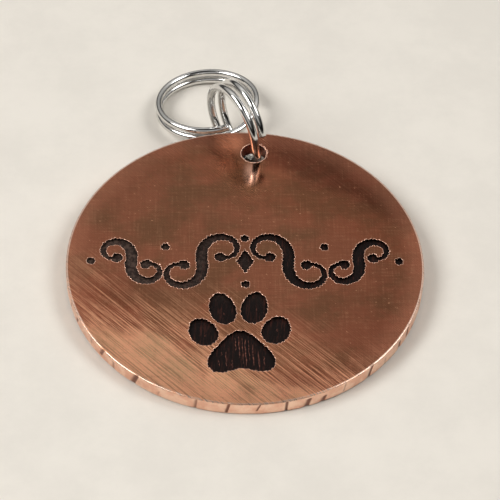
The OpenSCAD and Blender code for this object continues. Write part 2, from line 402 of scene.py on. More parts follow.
def ragged(
    line: Array, reach: float, seed: int, waves: Pair = (1.6, 0.35), limit: float = 1.6
) -> Array:
    """The outline as the cutter left it: each point moves along its normal by smooth noise.

    Args:
        line: Closed outline.
        reach: Spread of the movement.
        seed: Seed of the noise.
        waves: Longest and shortest wave of the noise.
        limit: Greatest movement, in spreads.

    Returns:
        The moved outline.
    """
    length = np.linalg.norm(np.roll(line, -1, axis=0) - line, axis=1).sum()
    noise = line_noise(line, length, waves, seed)
    return line + outward(line) * (reach * np.clip(noise, -limit, limit))[:, None]


class Sheet:
    """A sheet of nodes, with short calls to add and join them."""

    def __init__(self, tree: bpy.types.NodeTree) -> None:
        """Keeps the tree that the nodes are added to."""
        self.tree = tree

    def node(self, kind: str, inputs: dict | None = None, **settings: object) -> bpy.types.Node:
        """Adds a node.

        Args:
            kind: Its type without the ShaderNode prefix.
            inputs: Values or sockets for its inputs, by name or number.
            settings: The node's own settings.

        Returns:
            The node.
        """
        made = self.tree.nodes.new("ShaderNode" + kind)
        for key, value in settings.items():
            setattr(made, key, value)
        for key, value in (inputs or {}).items():
            self.put(made.inputs[key], value)
        return made

    def put(self, socket: Socket, value: object) -> None:
        """Joins a socket to the input, or sets the input's own value."""
        if isinstance(value, Socket):
            self.tree.links.new(value, socket)
        elif isinstance(value, tuple) and len(value) == 3 and socket.type == "RGBA":
            socket.default_value = (*value, 1.0)
        else:
            socket.default_value = value

    def axes(self, vector: Socket) -> list[Socket]:
        """The x, y and z of a vector."""
        return list(self.node("SeparateXYZ", {0: vector}).outputs)

    def noise(self, point: Socket, scale: float, detail: float, rough: float) -> Socket:
        """Noise, 0 to 1, at the given scale."""
        inputs = {"Vector": point, "Scale": scale, "Detail": detail, "Roughness": rough}
        return self.node("TexNoise", inputs).outputs[0]

    def span(self, value: Socket, reach: Pair, ends: Pair = (0, 1)) -> Socket:
        """The value's reach, taken smoothly to the two ends and held there."""
        inputs = {"Value": value, "From Min": reach[0], "From Max": reach[1]}
        inputs |= {"To Min": ends[0], "To Max": ends[1]}
        return self.node("MapRange", inputs, interpolation_type="SMOOTHSTEP").outputs[0]

    def maths(self, kind: str, a: object, b: object) -> Socket:
        """Math of two values: ADD, MULTIPLY, SUBTRACT, MINIMUM and so on."""
        return self.node("Math", {0: a, 1: b}, operation=kind).outputs[0]

    def times(self, a: Socket, b: object) -> Socket:
        """Product of two values."""
        return self.maths("MULTIPLY", a, b)

    def weighted(self, a: Socket, share_a: float, b: Socket, share_b: float) -> Socket:
        """Sum of two values, each times its share."""
        return self.maths("ADD", self.times(a, share_a), self.times(b, share_b))

    def distance(self, point: Socket, centre: Triple, scale: Triple) -> Socket:
        """Distance from a centre, with each axis scaled, so that equal distances are ovals."""
        shift = tuple(-c * s for c, s in zip(centre, scale))
        moved = self.node("Mapping", {"Vector": point, "Location": shift, "Scale": scale})
        return self.node("VectorMath", {0: moved.outputs[0]}, operation="LENGTH").outputs["Value"]

    def mix(self, share: object, a: object, b: object, kind: str = "MIX") -> Socket:
        """Mix of two colours."""
        made = self.node("Mix", data_type="RGBA", blend_type=kind)
        for number, value in ((0, share), (6, a), (7, b)):
            self.put(made.inputs[number], value)
        return made.outputs[2]

    def lay(
        self, under: object, over: object, value: Socket, reach: Pair, shares: Pair = (0, 1)
    ) -> Socket:
        """Lays a colour over another.

        Args:
            under: The colour below.
            over: The colour laid over it.
            value: What its share follows.
            reach: The two values between which the share changes.
            shares: The share at these values.

        Returns:
            The mixed colour.
        """
        return self.mix(self.span(value, reach, shares), under, over)

    def ramp(self, share: Socket, stops: list[tuple[float, Color]]) -> Socket:
        """Colour by share, smooth between the stops."""
        made = self.node("ValToRGB", {0: share})
        made.color_ramp.interpolation = "EASE"
        elements = made.color_ramp.elements
        while len(elements) < len(stops):
            elements.new(0.5)
        for element, (place, color) in zip(elements, stops):
            element.position = place
            element.color = (*color, 1)
        return made.outputs[0]


class MaterialSheet(Sheet):
    """The nodes of a material with one main shader."""

    def __init__(self, name: str) -> None:
        """Makes the material and keeps its tree and main shader."""
        self.material = bpy.data.materials.new(name)
        self.material.use_nodes = True
        super().__init__(self.material.node_tree)
        self.shader = self.tree.nodes["Principled BSDF"]

    def set(self, **values: object) -> None:
        """Sets inputs of the main shader; an underscore stands for a space in a name."""
        for key, value in values.items():
            self.put(self.shader.inputs[key.replace("_", " ")], value)

    def place(self) -> Socket:
        """The point's place on the flat tag, in millimetres, read from Object coordinates."""
        inputs = {
            "Vector": self.node("TexCoord").outputs["Object"],
            "Location": tuple(PLACE.millimetres(np.zeros(3))),
            "Rotation": (-math.radians(PLACE.lean), 0, 0),
            "Scale": (1 / MM, 1 / MM, 1 / MM),
        }
        return self.node("Mapping", inputs).outputs[0]

    def bump(self, height: Socket, strength: float, distance: float) -> None:
        """Bump on the main shader from a height, over any bump that it has already.

        Args:
            height: The height.
            strength: The bump's strength.
            distance: Height in metres that a height of 1 stands for.
        """
        before = self.shader.inputs["Normal"]
        inputs = {"Height": height, "Strength": strength, "Distance": distance}
        if before.is_linked:
            inputs["Normal"] = before.links[0].from_socket
        self.put(before, self.node("Bump", inputs).outputs[0])


@dataclass(frozen=True)
class Grain:
    """Noise that is drawn out in one direction of the face.

    The angle is counter-clockwise from +X, in degrees. The scales are those along this
    direction, across it and in depth.
    """

    angle: float
    scale: Triple
    detail: float
    rough: float

    def on(self, sheet: Sheet, point: Socket) -> Socket:
        """The noise at the point, 0 to 1."""
        turn = {"Vector": point, "Rotation": (0, 0, -math.radians(self.angle))}
        along = sheet.node("Mapping", turn).outputs[0]
        drawn = sheet.node("Mapping", {"Vector": along, "Scale": self.scale}).outputs[0]
        return sheet.noise(drawn, 1, self.detail, self.rough)


@dataclass(frozen=True)
class Zone:
    """An oval area with a colour laid over the surface; some zones are painted highlights and
    reflections.

    The distance from its centre is taken with each axis scaled. Where that distance goes
    through the reach, the colour's share goes from the first to the second of the shares.
    """

    centre: Triple
    scale: Triple
    reach: Pair
    shares: Pair
    color: Color

    def on(self, sheet: Sheet, point: Socket, colour: Socket) -> Socket:
        """The zone's colour, laid over another at the point."""
        away = sheet.distance(point, self.centre, self.scale)
        return sheet.lay(colour, self.color, away, self.reach, self.shares)


@dataclass(frozen=True)
class BrushedCopper:
    """Copper sheet, brushed across, with aged tarnish, and with painted sheen, highlights and
    reflections in its colour.
    """

    # Tint of the painted sheen and glints on the brush marks, scratches and specks, and of the
    # weave's lighter threads
    bright: Color = (1.0, 0.5, 0.29)
    # Tint of the dark streaks of the painted sheen and of the weave's darker threads
    dark: Color = (0.13, 0.045, 0.025)
    # Colours by level, from about -1 at the upper right to 1 at the lower left; brightest at the
    # lower left
    tones: tuple[tuple[float, Color], ...] = (
        (-1.0, (0.16, 0.054, 0.029)), (-0.75, (0.265, 0.1, 0.053)),
        (-0.3, (0.255, 0.105, 0.058)), (0.35, (0.265, 0.106, 0.059)),
        (0.75, (0.35, 0.132, 0.072)), (0.88, (0.38, 0.15, 0.084)), (1.03, (1.0, 0.52, 0.31)),
    )
    # The level: a slope in x and y, and clouds that move it up and down
    slope: Pair = (-0.027, -0.061)
    clouds: Grain = Grain(-43, (0.07, 0.12, 0.1), 4, 0.6)
    cloud_reach: float = 0.9
    # Olive and reddish patches, by which the colour is multiplied
    hue: Grain = Grain(20, (0.14, 0.2, 0.1), 5, 0.62)
    olive: Color = (0.8, 0.88, 0.83)
    reddish: Color = (1.16, 1.04, 1.04)
    # A darker tone, which the colour is multiplied by: it grows to the right over this reach
    # of x, and lies round a centre at the lower left
    dimming: Color = (0.78, 0.7, 0.68)
    dimming_right: Pair = (3, 16)
    dimming_centre: Triple = (-14, -7, 0)
    dimming_scale: Triple = (0.15, 0.15, 0)
    # A redder border; the worn edge, paler, which is also a painted highlight along it; a soft
    # orange patch beside the hole, a painted reflection of warm light; and a bright patch below
    # the hole, where the ring rubs, partly polish and partly a painted reflection of the ring
    zones: tuple[Zone, ...] = (
        Zone((0, 0, 0), (1, 1, 1), (16.2, 18.8), (0, 0.3), (0.62, 0.25, 0.15)),
        # Paler worn edge, which is also a painted highlight along the edge
        Zone((0, 0, 0), (1, 1, 1), (18.86, 18.94), (0, 0.85), (1.0, 0.72, 0.58)),
        # Painted reflection: a soft orange glow of warm light beside the hole
        Zone((-2.1, 17.4, 0), (0.6, 0.55, 0), (0.2, 1.5), (0.75, 0), (0.8, 0.3, 0.165)),
        # Bright where the ring rubs: partly polish, partly a painted reflection of the ring
        Zone((0.3, 12.7143, 0), (1.4, 0.7, 0), (0.0, 1.6), (0.6, 0), (0.98, 0.56, 0.42)),
    )
    # Brush marks, broad bands in them, marks across them, and a few lone scratches; in the colour
    # they are painted sheen and glints
    streaks: Grain = Grain(-43, (0.15, 9.5, 1), 5, 0.72)
    bands: Grain = Grain(-43, (0.05, 1.3, 1), 3, 0.6)
    crossing: Grain = Grain(48, (0.08, 4, 1), 5, 0.8)
    scratches: Grain = Grain(-52, (0.06, 2.4, 1), 8, 0.9)
    # The fine weave that the rolls left
    weave: tuple[Grain, Grain] = (Grain(2, (0.5, 9, 1), 2, 0.6), Grain(92, (0.3, 9, 1), 2, 0.6))
    # Middle of the area below the hole that the ring has polished
    polished: Triple = (0.6, 13.8, 0)
    # Height of the marks, in metres
    relief: float = 0.00003

    def tarnish_and_sheen(self, sheet: Sheet, point: Socket, x: Socket, level: Socket) -> Socket:
        """Colour of the sheet without its marks: tones, tarnish patches, a darker tone, and
        zones, some of which are painted highlights and reflections.

        Args:
            sheet: The material's nodes.
            point: Place on the flat tag.
            x: Its x.
            level: Its level, which sets the tone.

        Returns:
            The colour.
        """
        low, high = self.tones[0][0], self.tones[-1][0]
        inputs = {"Value": level, "From Min": low, "From Max": high}
        share = sheet.node("MapRange", inputs).outputs[0]
        colour = sheet.ramp(share, [((t - low) / (high - low), c) for t, c in self.tones])
        patches = sheet.lay(self.olive, self.reddish, self.hue.on(sheet, point), (0.38, 0.62))
        colour = sheet.mix(1.0, colour, patches, "MULTIPLY")
        away = sheet.distance(point, self.dimming_centre, self.dimming_scale)
        left = sheet.span(x, self.dimming_right, (1, 0.3))
        undimmed = sheet.maths("MINIMUM", left, sheet.span(away, (0.2, 1.0)))
        colour = sheet.mix(undimmed, sheet.mix(1.0, colour, self.dimming, "MULTIPLY"), colour)
        for zone in self.zones:
            colour = zone.on(sheet, point, colour)
        return colour

    def marked(
        self, sheet: Sheet, point: Socket, level: Socket, streaks: Socket, weave: Socket,
        colour: Socket,
    ) -> Socket:
        """The colour with its marks, painted in as sheen and glints, which are strongest where
        the sheet is bright.

        Args:
            sheet: The material's nodes.
            point: Place on the flat tag.
            level: Its level, which sets the tone.
            streaks: The brush marks.
            weave: The weave.
            colour: The colour without marks.

        Returns:
            The colour.
        """
        strong = sheet.span(level, (0.2, 1.1), (0.1, 1))
        both = sheet.weighted(streaks, 0.88, self.bands.on(sheet, point), 0.12)
        # Painted sheen: bright and dark streaks along the brush marks
        mark = sheet.times(sheet.span(both, (0.4, 0.6), (-0.5, 0.5)), strong)
        colour = sheet.lay(colour, self.bright, mark, (0, 0.45), (0, 0.95))
        colour = sheet.lay(colour, self.dark, mark, (0, -0.5), (0, 0.34))
        # Painted sheen on the marks across the brushing
        across = sheet.span(self.crossing.on(sheet, point), (0.6, 0.74), (0, 0.35))
        colour = sheet.mix(sheet.times(across, strong), colour, self.bright)
        # Painted glints along the lone scratches and on tiny specks
        scratches = self.scratches.on(sheet, point)
        specks = sheet.noise(point, 3.2, 2, 0.5)
        for value, tint, reach, share in (
            (scratches, self.bright, (0.64, 0.74), 0.5),
            (specks, self.bright, (0.7, 0.77), 0.7),
            (weave, self.bright, (0.52, 0.66), 0.12),
            (weave, self.dark, (0.48, 0.34), 0.22),
        ):
            colour = sheet.lay(colour, tint, value, reach, (0, share))
        return colour

    def material(self) -> bpy.types.Material:
        """Tarnish, marks and painted sheen, highlights and reflections in the colour, and the
        same marks in roughness and bump.
        """
        sheet = MaterialSheet("brushed_copper")
        point = sheet.place()
        x, y, _ = sheet.axes(point)
        cloud = sheet.maths("SUBTRACT", self.clouds.on(sheet, point), 0.5)
        slope = sheet.weighted(x, self.slope[0], y, self.slope[1])
        level = sheet.maths("ADD", slope, sheet.times(cloud, self.cloud_reach))
        streaks = self.streaks.on(sheet, point)
        flat, upright = (grain.on(sheet, point) for grain in self.weave)
        weave = sheet.weighted(flat, 0.5, upright, 0.5)
        colour = self.tarnish_and_sheen(sheet, point, x, level)
        colour = self.marked(sheet, point, level, streaks, weave, colour)
        away = sheet.distance(point, self.polished, (1, 1, 0))
        rough = sheet.span(streaks, (0.3, 0.7), (0.24, 0.38))
        rough = sheet.times(rough, sheet.span(away, (1.5, 5.5), (0.55, 1)))
        sheet.set(Base_Color=colour, Metallic=1.0, Roughness=rough)
        kept = sheet.span(away, (1.5, 4.5), (0.1, 1))
        grain = sheet.noise(point, 9, 3, 0.6)
        for height, strength in ((streaks, 0.14), (weave, 0.12), (grain, 0.08)):
            sheet.bump(sheet.times(height, kept), strength, self.relief)
        return sheet.material


@dataclass(frozen=True)
class ShearedRim:
    """The disc's side: paler copper with dark marks where the shear bit."""

    pale: Color = (1.0, 0.7, 0.54)
    shade: Color = (0.86, 0.5, 0.36)
    mark: Color = (0.2, 0.085, 0.06)

    def material(self) -> bpy.types.Material:
        """Colour from the marks' own depth, kept in the mesh as the attribute shear."""
        sheet = MaterialSheet("sheared_rim")
        point = sheet.place()
        shear = sheet.node("Attribute", attribute_name="shear").outputs["Fac"]
        colour = sheet.lay(self.shade, self.pale, sheet.noise(point, 0.7, 4, 0.6), (0.38, 0.64))
        colour = sheet.lay(colour, self.mark, shear, (0.1, 1.0), (0, 0.92))
        sheet.set(Base_Color=colour, Metallic=1.0, Roughness=0.38)
        sheet.bump(sheet.noise(point, 5, 4, 0.6), 0.15, 0.00004)
        return sheet.material


@dataclass(frozen=True)
class PlainMetal:
    """A plain metal with a little unevenness: burrs, ridges, ring wire."""

    name: str
    color: Color
    shade: Color
    roughness: float
    grain: float
    bump: float
    metallic: float = 1.0

    def material(self) -> bpy.types.Material:
        """Two shades in soft clouds, and fine bump."""
        sheet = MaterialSheet(self.name)
        clouds = sheet.noise(sheet.place(), self.grain, 3, 0.6)
        colour = sheet.lay(self.shade, self.color, clouds, (0.4, 0.62))
        sheet.set(Base_Color=colour, Metallic=self.metallic, Roughness=self.roughness)
        sheet.bump(clouds, self.bump, 0.00004)
        return sheet.material


@dataclass(frozen=True)
class BlackPaint:
    """Thin black filling, brushed into the cuts and wiped off."""

    dark: Color = (0.005, 0.002, 0.0015)
    worn: Color = (0.05, 0.014, 0.009)
    # Paler brown of the left end: rubbed paint and a painted reflection
    rubbed_sheen: Color = (0.085, 0.055, 0.042)
    tracks: Grain = Grain(88, (0.5, 4.5, 1), 4, 0.7)

    def material(self) -> bpy.types.Material:
        """Near black, browner where it is thin, with the cutter's tracks in its surface.

        It is paler towards the left end of the band: partly rubbed thin, partly a painted
        reflection.
        """
        sheet = MaterialSheet("black_filling")
        point = sheet.place()
        tracks = self.tracks.on(sheet, point)
        specks = sheet.noise(point, 6, 3, 0.7)
        colour = sheet.lay(self.dark, self.worn, tracks, (0.5, 0.72), (0, 0.8))
        colour = sheet.lay(colour, self.worn, specks, (0.6, 0.75), (0, 0.7))
        x, y, _ = sheet.axes(point)
        # Paler towards the left end of the band: rubbed paint and a painted reflection
        left = sheet.times(sheet.span(x, (6, -14)), sheet.span(y, (-6, -4)))
        thin = sheet.span(sheet.noise(point, 2.5, 5, 0.7), (0.4, 0.65), (0.2, 0.9))
        colour = sheet.mix(sheet.times(left, thin), colour, self.rubbed_sheen)
        sheet.set(Base_Color=colour, Roughness=0.5, Specular_IOR_Level=0.12)
        sheet.bump(tracks, 0.6, 0.00012)
        sheet.bump(specks, 0.5, 0.00008)
        return sheet.material


@dataclass(frozen=True)
class Paper:
    """The pale table."""

    color: Color = (0.8, 0.748, 0.668)
    darker: float = 0.94

    def material(self) -> bpy.types.Material:
        """A plain pale colour with faint clouds."""
        sheet = MaterialSheet("pale_table")
        clouds = sheet.noise(sheet.node("TexCoord").outputs["Object"], 90, 6, 0.7)
        shade = tuple(c * self.darker for c in self.color)
        sheet.set(Base_Color=sheet.lay(shade, self.color, clouds, (0.35, 0.65)), Roughness=0.75)
        return sheet.material


class Finish(Enum):
    """The finishes of the pieces."""

    COPPER = BrushedCopper()
    RIM = ShearedRim()
    BURR = PlainMetal("bright_burr", (0.95, 0.6, 0.45), (0.75, 0.38, 0.26), 0.25, 4, 0.4, 0.6)
    BORE = PlainMetal("hole_wall", (0.5, 0.2, 0.13), (0.2, 0.07, 0.05), 0.35, 3, 0.4)
    RIDGE = PlainMetal("worn_ridge", (0.3, 0.105, 0.07), (0.07, 0.024, 0.018), 0.55, 3, 0.5, 0.5)
    NICKEL = PlainMetal("bright_nickel", (0.75, 0.74, 0.72), (0.7, 0.69, 0.67), 0.14, 1.2, 0.01)
    PAINT = BlackPaint()
    TABLE = Paper()

    @cache
    def material(self) -> bpy.types.Material:
        """The finish's material, made once."""
        return self.value.material()


def dress(piece: bpy.types.Object, finishes: tuple[Finish, ...], body: str) -> None:
    """Gives a piece its finishes, its body and its material slot, and reports it.

    Args:
        piece: The piece.
        finishes: One finish for each material number of its faces.
        body: Body that it rides on.
    """
    slots = piece.data.materials
    for number, finish in enumerate(finishes):
        if number < len(slots):
            slots[number] = finish.material()
        else:
            slots.append(finish.material())
    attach(piece, body)
    log.info("%s: %d faces, rides on %s", piece.name, len(piece.data.polygons), body)


@dataclass(frozen=True)
class ShearMarks:
    """Marks of the shear in the disc's side, drawn at random.

    A pair holds the least and the greatest of a size: the step from mark to mark, the slant,
    the width and depth of a mark, and the heights of its lower and upper end.
    """

    draws: int = 90
    step: Pair = (1.8, 4.2)
    slant: Pair = (0.05, 0.45)
    width: Pair = (0.16, 0.5)
    deep: Pair = (0.03, 0.11)
    low: Pair = (-0.5, 0.4)
    high: Pair = (0.9, 2.0)
    flank: float = 0.3
    fade: float = 0.2
    full: float = 0.07

    def depth(self, angle: Array, height: Array, radius: float, thickness: float) -> Array:
        """Depth of the marks.

        Each mark is a groove across the side: a Gauss bell round the rim whose middle shifts
        with height and whose right flank is steeper, times a window over part of the height.
        The deepest counts.

        Args:
            angle: Angle round the disc.
            height: Height over the back, with the shape of angle.
            radius: The disc's radius.
            thickness: Its thickness.

        Returns:
            Depth, with the shape of angle.
        """
        dice = np.random.default_rng(Seed.SHEAR)
        steps = np.cumsum(dice.uniform(*self.step, self.draws))
        places = steps[steps < FULL * radius - self.step[0]] / radius
        slant, width, deep, low, high = (
            dice.uniform(*pair, len(places))
            for pair in (self.slant, self.width, self.deep, self.low, self.high)
        )
        level = height[..., None]
        off = (angle[..., None] - places) * radius
        off = (off + math.pi * radius) % (FULL * radius) - math.pi * radius
        off = off - slant * (level - thickness / 2)
        across = np.exp(-((off / np.where(off > 0, self.flank * width, width)) ** 2))
        window = smooth_step((level - low) / self.fade) * smooth_step((high - level) / self.fade)
        return (deep * across * window).max(-1)


@dataclass(frozen=True)
class Lip:
    """A lip of copper that the cutter pushed up along a line.

    Its section is half an ellipse over the face, which starts by back inside the line, and
    one more point, by root under the face. The whole lip lies lower by the sink.
    """

    back: float
    root: float
    points: int
    sink: float = 0.004

    def along(self, line: Array, width: Array, height: Array, level: float) -> Array:
        """The lip's surface.

        At angle a of the half ellipse its distance outside the line is width (1 - cos a) / 2,
        less back, and its height over the face is height sin a, less the sink.

        Args:
            line: The closed line, counter-clockwise.
            width: Width of the lip at each point of the line.
            height: Its height there.
            level: Height of the face.

        Returns:
            Points, points of the line x points of the section x 3.
        """
        a = np.concatenate([np.linspace(0, math.pi, self.points), [1.5 * math.pi]])
        reach = width[:, None] * (1 - np.cos(a)) / 2 - self.back
        rise = np.where(a > math.pi, -self.root, np.sin(a) * height[:, None])
        flat = line[:, None, :] + outward(line)[:, None, :] * reach[..., None]
        return np.concatenate([flat, (level + rise - self.sink)[..., None]], -1)


@dataclass
class TagDisc:
    """The copper disc with its hole and cut figures, and everything fixed to it.

    The cutters stand out of the disc by cut_above. The cut lines are ragged by rag, and the
    filling reaches by paint_overlap into the copper round it.
    """

    radius: float = 19.05
    thickness: float = 1.6
    edge: float = 0.15
    edge_points: int = 6
    side_points: int = 13
    around: int = 1440
    rim_wear: float = 0.012
    # Rows of faces of the upper rounded edge that have the finish of the face
    face_rows: int = 4
    hole_radius: float = 1.42
    hole_at: Pair = (0.6, 15.8)
    hole_around: int = 144
    hole_wear: float = 0.01
    hole_uneven: float = 0.008
    cut_depth: float = 0.5
    cut_above: float = 1.0
    rag: float = 0.042
    paint: float = 0.2
    paint_overlap: float = 0.01
    sharp_angle: float = 32.0
    shear: ShearMarks = ShearMarks()
    figures: Figures = Figures()
    # Finishes by face number: the face, the side, the figures' walls and the hole's wall
    finishes: tuple[Finish, ...] = (Finish.COPPER, Finish.RIM, Finish.PAINT, Finish.BORE)
    cut_lip: Lip = Lip(0.012, 0.03, 6)
    hole_lip: Lip = Lip(0.03, 0.04, 7)
    hole_lip_around: int = 260
    # x, lowest y and highest y over the pad's lowest point, and width: ridges on the pad,
    # then short ones in the toes
    ridge_spots: tuple[tuple[float, float, float, float], ...] = (
        (-1.55, 0.9, 3.0, 0.08), (-0.5, 2.9, 4.7, 0.06), (-0.15, 2.0, 4.9, 0.09),
        (0.2, 1.2, 5.0, 0.07), (0.5, 0.8, 4.6, 0.1), (0.85, 1.6, 4.4, 0.06),
        (1.25, 0.9, 3.8, 0.09), (1.8, 0.7, 2.9, 0.1), (-2.3, 1.0, 1.9, 0.06),
        (2.35, 1.0, 2.2, 0.07), (-0.95, 0.7, 1.8, 0.06), (-2.0, 2.4, 2.9, 0.05),
        (-1.5, 7.7, 8.1, 0.08), (1.9, 8.2, 8.6, 0.06), (-3.6, 4.9, 5.2, 0.06),
        (3.9, 5.3, 5.8, 0.06),
    )
    ridge_rings: int = 30
    ridge_sides: int = 8
    ridge_height: float = 0.045
    paw: list[Array] = field(init=False)
    band: list[Array] = field(init=False)

    def __post_init__(self) -> None:
        """Works out the cut lines once, so that the disc, filling and burrs share them."""
        self.paw, self.band = (
            [ragged(line, self.rag, seed + i) for i, line in enumerate(lines)]
            for lines, seed in (
                (self.figures.paw(), Seed.PAW_CUT), (self.figures.band(), Seed.BAND_CUT)
            )
        )

    def shear_depth(self, angle: Array, height: Array) -> Array:
        """Depth of the shear marks at an angle round the disc and a height over its back."""
        return self.shear.depth(angle, height, self.radius, self.thickness)

    def blank(self) -> bpy.types.Object:
        """The plain disc: a profile of the worn side carried round, with flat faces.

        The profile is a quarter circle, a straight side and a quarter circle. Round the disc
        it moves in by the shear marks and by a long, shallow unevenness.

        Returns:
            The blank.
        """
        r, edge = self.radius, self.edge
        corner = np.linspace(0, math.pi / 2, self.edge_points)
        low = np.stack([r - edge + edge * np.sin(corner), edge * (1 - np.cos(corner))], -1)
        side = np.linspace(edge, self.thickness - edge, self.side_points)[1:-1]
        side = np.stack([np.full(len(side), r), side], -1)
        high = (low * [1, -1] + [0, self.thickness])[::-1]
        profile = np.vstack([low, side, high])
        angle, radius = np.meshgrid(
            np.linspace(0, FULL, self.around, endpoint=False), profile[:, 0]
        )
        height = np.repeat(profile[:, 1:], self.around, axis=1)
        uneven = np.abs(self.rim_wear * periodic_noise(angle / FULL, (9, 60), Seed.RIM_WEAR))
        near_side = smooth_step((radius - r + edge) / edge)
        radius = radius - (self.shear_depth(angle, height) + uneven) * near_side
        tube = np.stack([radius * np.cos(angle), radius * np.sin(angle), height], -1)
        piece = tag_piece("tag_blank", [tube])
        sides = (len(profile) - 1) * self.around
        numbers = np.full(sides + 2, self.finishes.index(Finish.RIM), np.int32)
        numbers[sides - self.face_rows * self.around :] = self.finishes.index(Finish.COPPER)
        piece.data.polygons.foreach_set("material_index", numbers)
        return piece

    def mark_rim(self, mesh: bpy.types.Mesh) -> None:
        """Keeps the shear marks' depth at each corner of the mesh, as the attribute shear."""
        corners = np.empty(3 * len(mesh.vertices), np.float32)
        mesh.vertices.foreach_get("co", corners)
        x, y, z = PLACE.millimetres(corners.reshape(-1, 3).astype(float)).T
        depth = self.shear_depth(np.arctan2(y, x) % FULL, z)
        depth *= np.hypot(x, y) > self.radius - 2 * self.edge
        shear = mesh.attributes.get("shear") or mesh.attributes.new("shear", "FLOAT", "POINT")
        shear.data.foreach_set("value", (depth / self.shear.full).clip(0, 1).astype(np.float32))

    def prisms(self, lines: list[Array], low: float, high: float, grow: float = 0) -> list[Array]:
        """Upright prisms over closed outlines.

        Args:
            lines: The outlines.
            low: Height of the lower end.
            high: Height of the upper end.
            grow: How far the outlines are moved outward.

        Returns:
            One tube of two rings for each outline.
        """
        grown = [line + outward(line) * grow for line in lines]
        return [
            np.stack([np.column_stack([line, np.full(len(line), z)]) for z in (low, high)])
            for line in grown
        ]

    def hole_cutter(self) -> bpy.types.Object:
        """A round cutter whose ends flare a little, as the hole's worn edges do."""
        wear, t, beyond = self.hole_wear, self.thickness, self.cut_above
        heights = np.array([-beyond, 0, wear, t / 2, t - wear, t, t + beyond])
        flare = np.array([wear, wear, 0, 0, 0, wear, wear])
        count = self.hole_around
        share = np.arange(count) / count
        uneven = np.abs(self.hole_uneven * periodic_noise(share, (5, 30), Seed.HOLE_WEAR))
        radius = self.hole_radius + flare[:, None] + uneven
        flat = circle(1, count) * radius[..., None] + self.hole_at
        upright = np.repeat(heights[:, None, None], count, axis=1)
        return tag_piece("hole_cutter", [np.concatenate([flat, upright], -1)])

    def cut(self, blank: bpy.types.Object) -> bpy.types.Object:
        """The blank with its hole and figures cut out.

        Args:
            blank: The plain disc. It is removed.

        Returns:
            The finished disc.
        """
        floor = self.thickness - self.cut_depth
        figures = self.prisms(self.paw + self.band, floor, self.thickness + self.cut_above)
        cutters = {
            Finish.PAINT: tag_piece("figure_cutter", figures),
            Finish.BORE: self.hole_cutter(),
        }
        for finish, cutter in cutters.items():
            number = self.finishes.index(finish)
            numbers = np.full(len(cutter.data.polygons), number, np.int32)
            cutter.data.polygons.foreach_set("material_index", numbers)
            made = blank.modifiers.new(cutter.name, "BOOLEAN")
            made.object = cutter
            made.solver = "EXACT"
        # Empty slots keep the face numbers through the cut
        for piece in (blank, *cutters.values()):
            for _ in self.finishes:
                piece.data.materials.append(None)
        bpy.context.view_layer.update()
        shape = blank.evaluated_get(bpy.context.evaluated_depsgraph_get())
        mesh = bpy.data.meshes.new_from_object(shape)
        mesh.name = "tag_copper"
        for spent in (blank, *cutters.values()):
            bpy.data.objects.remove(spent)
        self.mark_rim(mesh)
        mesh.shade_smooth()
        mesh.set_sharp_from_angle(angle=math.radians(self.sharp_angle))
        return put_in_scene("tag_copper", mesh)

    def burr(self, name: str, lines: list[Array], tall: Pair, wide: Pair, seed: int) -> None:
        """The lip along the cuts, on the copper's side of them.

        Its height and width follow the square of noise, so that it is mostly thin with a few
        flecks. This grows to four times as much where the outline looks to the hole.

        Args:
            name: The piece's name.
            lines: The outlines.
            tall: Least and greatest height.
            wide: Least and greatest width.
            seed: Seed of the noise.
        """
        tubes = []
        for i, line in enumerate(lines):
            noise = line_noise(line, len(line) * self.figures.step, (1.2, 0.25), seed + i)
            upper = 0.25 + 0.75 * smooth_step(outward(line)[:, 1])
            amount = np.clip(0.35 * noise + 0.4, 0, 1) ** 2 * upper
            width = wide[0] + (wide[1] - wide[0]) * amount
            height = tall[0] + (tall[1] - tall[0]) * amount
            tubes.append(self.cut_lip.along(line, width, height, self.thickness))
        dress(tag_piece(name, tubes, closed=True), (Finish.BURR,), "tag")

    def hole_burr(self) -> None:
        """The rough lip round the hole, highest at the right, where nothing rubs on it."""
        rim = circle(self.hole_radius, self.hole_lip_around)
        angle = np.linspace(0, FULL, self.hole_lip_around, endpoint=False)
        right = smooth_step((np.cos(angle - math.radians(20)) - 0.2) / 0.7)
        noise = periodic_noise(angle / FULL, (8, 60), Seed.HOLE_LIP)
        noise = np.clip(0.5 + 0.4 * noise, 0, 1) ** 1.5
        height = 0.012 + 0.03 * noise + 0.1 * noise * right
        width = 0.08 + 0.06 * noise + 0.12 * right * noise
        tube = self.hole_lip.along(rim + self.hole_at, width, height, self.thickness)
        dress(tag_piece("hole_burr", [tube], closed=True), (Finish.BURR,), "tag")

    def filling(self, name: str, node: str, lines: list[Array]) -> None:
        """The black filling on the floors of the cuts.

        Args:
            name: The piece's name.
            node: The CAD node that it stands for.
            lines: The cuts' outlines.
        """
        floor, overlap = self.thickness - self.cut_depth, self.paint_overlap
        tubes = self.prisms(lines, floor - overlap, floor + self.paint, overlap)
        piece = tag_piece(name, tubes, smooth=False)
        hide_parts(node)
        dress(piece, (Finish.PAINT,), "tag")

